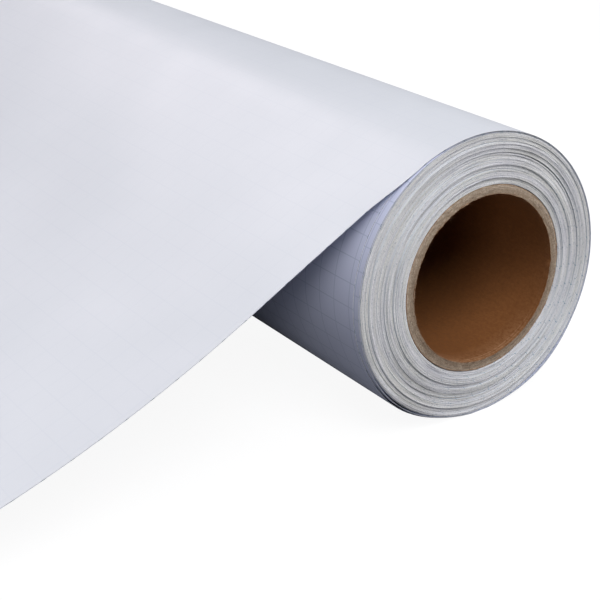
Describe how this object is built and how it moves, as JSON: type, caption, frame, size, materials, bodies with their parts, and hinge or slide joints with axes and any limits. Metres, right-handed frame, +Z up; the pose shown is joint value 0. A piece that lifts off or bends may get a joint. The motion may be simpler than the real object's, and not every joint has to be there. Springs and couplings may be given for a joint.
{
  "type": "roll of sign vinyl",
  "caption": "Roll of white self-adhesive sign vinyl on a paper release liner, wound on a paperboard core, with its free end pulled out over the top and lying flat.",
  "frame": {"origin": "on the table, under the centre of the whole part's bounding box", "axes": "+X across the roll from the free end towards the roll, +Y along the core from the near end to the far end, +Z up from the table"},
  "size_m": [0.5632, 0.6144, 0.1286],
  "materials": {
    "kraft_paper": "matte",
    "core_board": "matte",
    "start_tape": "satin",
    "wound_web": "matte",
    "vinyl_film": "satin",
    "release_liner": "satin"
  },
  "bodies": {
    "outer_wrap": {"outer_wrap_liner": "release_liner", "outer_wrap_film": "vinyl_film"},
    "wound_outer": {"wound_wraps_6": "wound_web", "wound_wraps_7": "wound_web", "wound_wraps_8": "wound_web"},
    "wound_middle": {"wound_wraps_3": "wound_web", "wound_wraps_4": "wound_web", "wound_wraps_5": "wound_web"},
    "wound_core": {"core_inner_ply": "kraft_paper", "core_board_ply_1": "core_board", "core_board_ply_2": "core_board", "core_board_ply_3": "core_board", "core_board_ply_4": "core_board", "core_outer_ply": "kraft_paper", "core_start_tape": "start_tape", "wound_wraps_1": "wound_web", "wound_wraps_2": "wound_web"},
    "web_ramp": {"ramp_liner": "release_liner", "ramp_film": "vinyl_film"},
    "web_tail": {"tail_liner": "release_liner", "tail_film": "vinyl_film"},
    "peel_strip": {"peel_strip_film": "vinyl_film"}
  },
  "joints": [
    {"name": "roll_spin", "type": "hinge", "parent": "outer_wrap", "child": "wound_outer", "pos_m": [0.21732, 0, 0.06417], "axis": [0, -1, 0], "range_deg": [0, 360]},
    {"name": "telescope_middle", "type": "slide", "parent": "wound_outer", "child": "wound_middle", "axis": [0, -1, 0], "range_m": [-0.008, 0.008]},
    {"name": "telescope_core", "type": "slide", "parent": "wound_middle", "child": "wound_core", "axis": [0, -1, 0], "range_m": [-0.008, 0.008]},
    {"name": "web_lift", "type": "hinge", "parent": "outer_wrap", "child": "web_ramp", "pos_m": [0.18145, 0, 0.11776], "axis": [0, 1, 0], "range_deg": [0, 40]},
    {"name": "web_feed", "type": "slide", "parent": "web_ramp", "child": "web_tail", "axis": [-1, 0, 0], "range_m": [0, 0.4053]},
    {"name": "film_peel", "type": "hinge", "parent": "web_tail", "child": "peel_strip", "pos_m": [-0.21162, 0, 0.00316], "axis": [0, 1, 0], "range_deg": [0, 150]}
  ],
  "couplings": [
    {"joint": "web_feed", "follows": "roll_spin", "m_per_rad": 0.06449},
    {"joint": "telescope_core", "follows": "telescope_middle", "ratio": 1}
  ]
}
